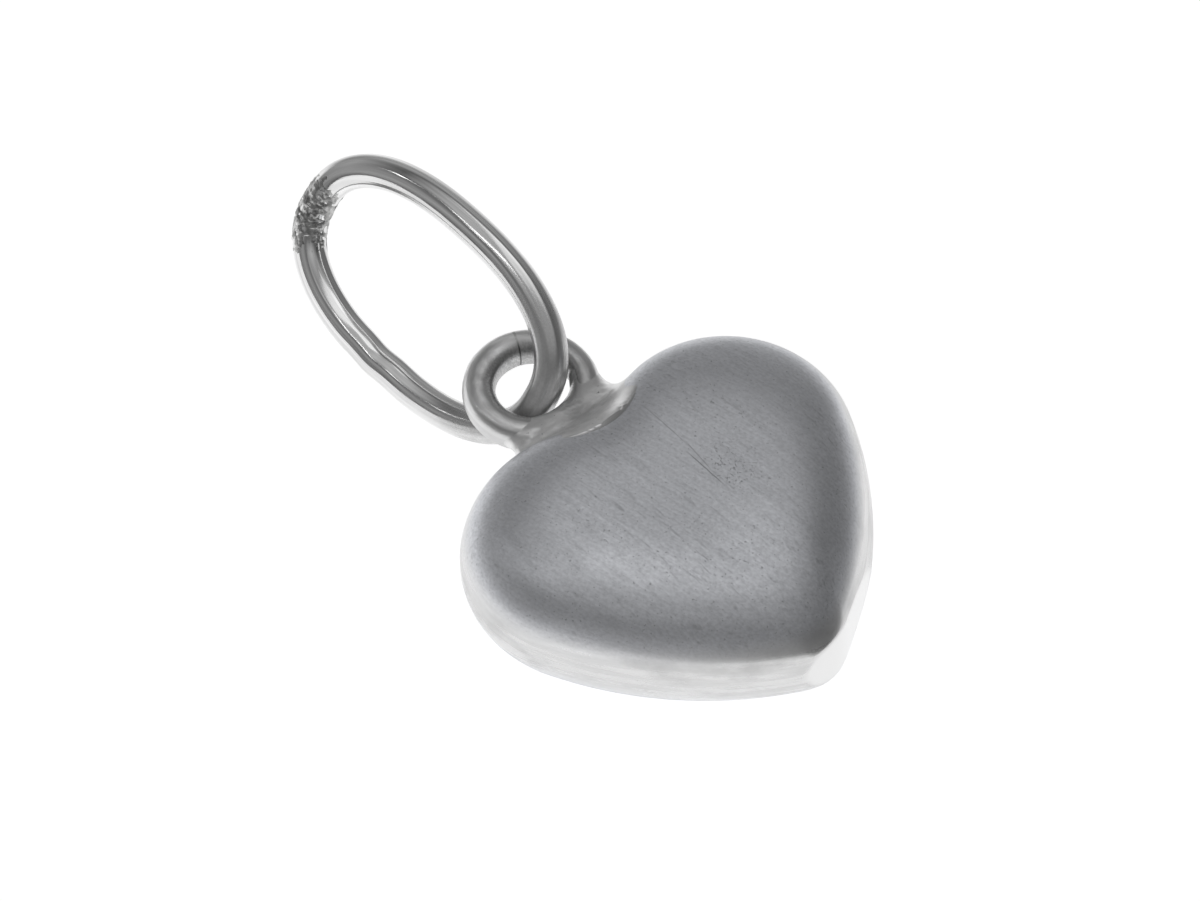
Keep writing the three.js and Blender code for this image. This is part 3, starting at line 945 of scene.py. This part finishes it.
def wire_silver(name, base, bright, dulled):
    """Drawn wire: lines along it, dull where its attributes say so, and darkened there by painted shade."""
    material, tree = new_metal(name)
    way = attribute(tree, "grain", "Vector")
    dull = attribute(tree, "dull")
    drawn = stretched_noise(way, (0.3, 11, 11), 4.0)
    broad = stretched_noise(way, (0.16, 4, 4), 2.0)
    sand = stretched_noise(way, (16, 16, 16), 2.0)
    cloud = stretched_noise(way, (1.2, 1.6, 1.6), 3.0)
    lines = sums("ADD", product(drawn, 0.5), product(broad, 0.5))
    tint = mixed(ranged(lines, 0.36, 0.64), times(base, 0.7), times(base, 1.06))
    tint = mixed(product(dull, ranged(cloud, 0.35, 0.65, 0.3, 0.9)), tint, times(base, 0.68))
    # painted shade: the colour darkens towards a deep grey where the attribute marks shade, patchy by the
    # sand noise
    shade_share = product(attribute(tree, "painted_shade"), ranged(sand, 0.35, 0.6, 0.55, 1.0))
    tint = mixed(shade_share, tint, times(base, 0.42))
    shiny = ranged(cloud, 0.3, 0.7, bright * 0.7, bright * 1.5)
    matt = ranged(sand, 0.3, 0.7, dulled * 0.85, dulled * 1.15)
    height = sums("ADD", lines, product(sand, product(dull, 0.5)))
    finish_metal(tree, tint, blend(dull, shiny, matt), height, 0.5, 1.1e-5)
    return material


def solder_silver(name, base, rough, dent, shade_tone=0.85, grit=1.0):
    """Solder smoothed by hand: soft dents, pin holes, dull spots, and painted shade that darkens it where its
    attribute says so.
    """
    material, tree = new_metal(name)
    place = object_place(tree)
    dents = stretched_noise(place, (2600 * grit,) * 3, 3.0)
    dull = stretched_noise(place, (1400 * grit,) * 3, 4.0)
    holes = ranged(stretched_noise(place, (9000, 9000, 9000), 1.0), 0.7, 0.78)
    dark, light = times(base, 1 - 0.22 * grit), times(base, 1 + 0.06 * grit)
    tint = mixed(ranged(dull, 0.35, 0.65), dark, light)
    tint = mixed(product(holes, 0.7), tint, times(base, 0.25))
    # painted shade: the colour darkens where the attribute marks shade
    tint = mixed(attribute(tree, "painted_shade"), tint, times(base, shade_tone))
    rough = ranged(dull, 0.3, 0.7, rough * 1.25, rough * 0.8)
    height = sums("SUBTRACT", dents, product(holes, 0.4))
    finish_metal(tree, tint, rough, height, 0.5, dent)
    return material


# The stage


def camera_axes(studio):
    """Right, up and back of a camera at an azimuth and elevation, as unit vectors."""
    a, e = studio["azimuth"], studio["elevation"]
    right = Vector((math.cos(a), math.sin(a), 0))
    back = Vector((math.sin(a) * math.cos(e), -math.cos(a) * math.cos(e), math.sin(e)))
    return right, back.cross(right), back


class PENDANT_OT_stage(bpy.types.Operator):
    """Pale floor, soft studio light and the camera"""

    bl_idname = "pendant.stage"
    bl_label = "Stage"

    def execute(self, context):
        studio = in_mm(context.scene.pendant_studio)
        heart = in_mm(context.scene.pendant_heart)
        self.floor(studio)
        self.sky()
        for lamp in LAMPS:
            self.lamp(*lamp)
        self.camera(studio, Vector((0, heart["offset"], heart["thickness"] / 2)))
        context.scene.view_settings.view_transform = "Standard"
        return {"FINISHED"}

    def floor(self, studio):
        """Large pale disc that keeps the shadow: white to the camera, in the metal grey behind and right."""
        sides = 96
        turn = turns(sides)
        ring = np.stack([FLOOR_RADIUS * np.cos(turn), FLOOR_RADIUS * np.sin(turn), 0 * turn], -1)
        mesh = bpy.data.meshes.new("floor")
        mesh.from_pydata(np.vstack([ring, [[0, 0, 0]]]).tolist(), [],
                         [(i, (i + 1) % sides, sides) for i in range(sides)])
        material = bpy.data.materials.new("floor_paper")
        material.use_nodes = True
        tree = material.node_tree
        tree.nodes.remove(tree.nodes["Principled BSDF"])
        path = put_node(tree, "ShaderNodeLightPath").outputs
        seen = sums("MAXIMUM", path["Is Camera Ray"], path["Is Transmission Ray"])
        aside = vectors("DOT_PRODUCT", object_place(tree), PAPER_WAY, "Value")
        paper = ranged(aside, 0.006, 0.034, 0.72, 0.2, True)
        seen = sums("MAXIMUM", product(seen, 0.75), product(paper, path["Is Glossy Ray"]))
        matt = put_node(tree, "ShaderNodeBsdfDiffuse", {"Color": (*studio["floor"], 1)})
        glow = follow("ShaderNodeEmission", {"Strength": seen})
        both = follow("ShaderNodeAddShader", {0: matt.outputs[0], 1: glow.outputs[0]})
        tree.links.new(both.outputs[0], tree.nodes["Material Output"].inputs["Surface"])
        mesh.materials.append(material)
        floor = new_object("floor", mesh)

    def sky(self):
        """Grey room round the table, its far and near sides of different greys and its right side dimmer.

        The camera sees white past the floor.
        """
        world = bpy.data.worlds.new("studio")
        bpy.context.scene.world = world
        world.use_nodes = True
        tree = world.node_tree
        shader = tree.nodes["Background"]
        way = put_node(tree, "ShaderNodeTexCoord").outputs["Generated"]
        camera_ray = put_node(tree, "ShaderNodeLightPath").outputs["Is Camera Ray"]
        height = follow("ShaderNodeSeparateXYZ", {0: way}).outputs["Z"]
        near, far = self.room(height, NEAR_ROOM), self.room(height, FAR_ROOM)
        beyond = vectors("DOT_PRODUCT", way, BEYOND, "Value")
        room = mixed(ranged(beyond, -0.6, 0.6, smooth=True), near, far)
        tree.links.new(mixed(camera_ray, room, (1, 1, 1)), shader.inputs["Color"])
        aside = vectors("DOT_PRODUCT", way, RIGHT, "Value")
        dim = ranged(aside, 0.1, 0.9, 1.0, 0.55, True)
        tree.links.new(sums("MAXIMUM", dim, camera_ray), shader.inputs["Strength"])

    def room(self, height, greys):
        """Greys of one side of the room by the sine of the elevation."""
        ramp = follow("ShaderNodeValToRGB", {0: height})
        stops = ramp.color_ramp.elements
        stops.remove(stops[1])
        for k, (at, grey) in enumerate(zip(ROOM_HEIGHTS, greys)):
            stop = stops[0] if k == 0 else stops.new(at)
            stop.position = at
            stop.color = (grey, grey, grey, 1)
        return ramp.outputs[0]

    def lamp(self, name, way, size, glow):
        """Soft lamp of a given radiance in a direction from the heart, its long side upright."""
        light = bpy.data.lights.new(name, "AREA")
        light.shape = "RECTANGLE"
        light.size_y, light.size = size
        light.energy = glow * math.pi * size[0] * size[1]
        lamp = new_object(name, light)
        lamp.location = Vector(way).normalized() * LAMP_FAR
        lamp.rotation_mode = "QUATERNION"
        lamp.rotation_quaternion = Vector(way).normalized().to_track_quat("Z", "Y")

    def camera(self, studio, middle):
        """Camera at the photograph's place, aimed beside the heart's middle."""
        right, up, back = camera_axes(studio)
        aim = (middle + right * studio["shift_right"] + up * studio["shift_up"]) * MM
        data = bpy.data.cameras.new("camera")
        data.lens = studio["lens"]
        data.sensor_width = 36
        data.clip_start = 0.01
        data.clip_end = 10
        camera = new_object("camera", data)
        turn = Matrix((right, up, back)).transposed().to_4x4()
        camera.matrix_world = Matrix.Translation(aim + back * studio["distance"] * MM) @ turn
        bpy.context.scene.camera = camera


class PENDANT_PT_panel(bpy.types.Panel):
    """Lists the pendant's sizes and pieces"""

    bl_idname = "PENDANT_PT_panel"
    bl_label = "Heart pendant"
    bl_space_type = "VIEW_3D"
    bl_region_type = "UI"
    bl_category = "Pendant"

    def draw(self, context):
        for key in GROUPS:
            group = getattr(context.scene, key)
            box = self.layout.box()
            for name in group.__annotations__:
                box.prop(group, name)
        for operator in OPERATORS:
            self.layout.operator(operator.bl_idname)


GROUPS = {
    "pendant_heart": HeartSizes,
    "pendant_link": LinkSizes,
    "pendant_finish": SilverFinish,
    "pendant_studio": StudioSettings,
}
OPERATORS = (
    PENDANT_OT_shells,
    PENDANT_OT_seam,
    PENDANT_OT_eye,
    PENDANT_OT_saddle,
    PENDANT_OT_bail,
    PENDANT_OT_stage,
)


def register():
    for key, group in GROUPS.items():
        bpy.utils.register_class(group)
        setattr(bpy.types.Scene, key, PointerProperty(type=group))
    for cls in (*OPERATORS, PENDANT_PT_panel):
        bpy.utils.register_class(cls)


def unregister():
    for cls in (PENDANT_PT_panel, *reversed(OPERATORS)):
        bpy.utils.unregister_class(cls)
    for key, group in reversed(GROUPS.items()):
        delattr(bpy.types.Scene, key)
        bpy.utils.unregister_class(group)


def main():
    register()
    bpy.ops.pendant.shells()
    bpy.ops.pendant.seam()
    bpy.ops.pendant.eye()
    bpy.ops.pendant.saddle()
    bpy.ops.pendant.bail()
    bpy.ops.pendant.stage()


if __name__ == "__main__":
    main()
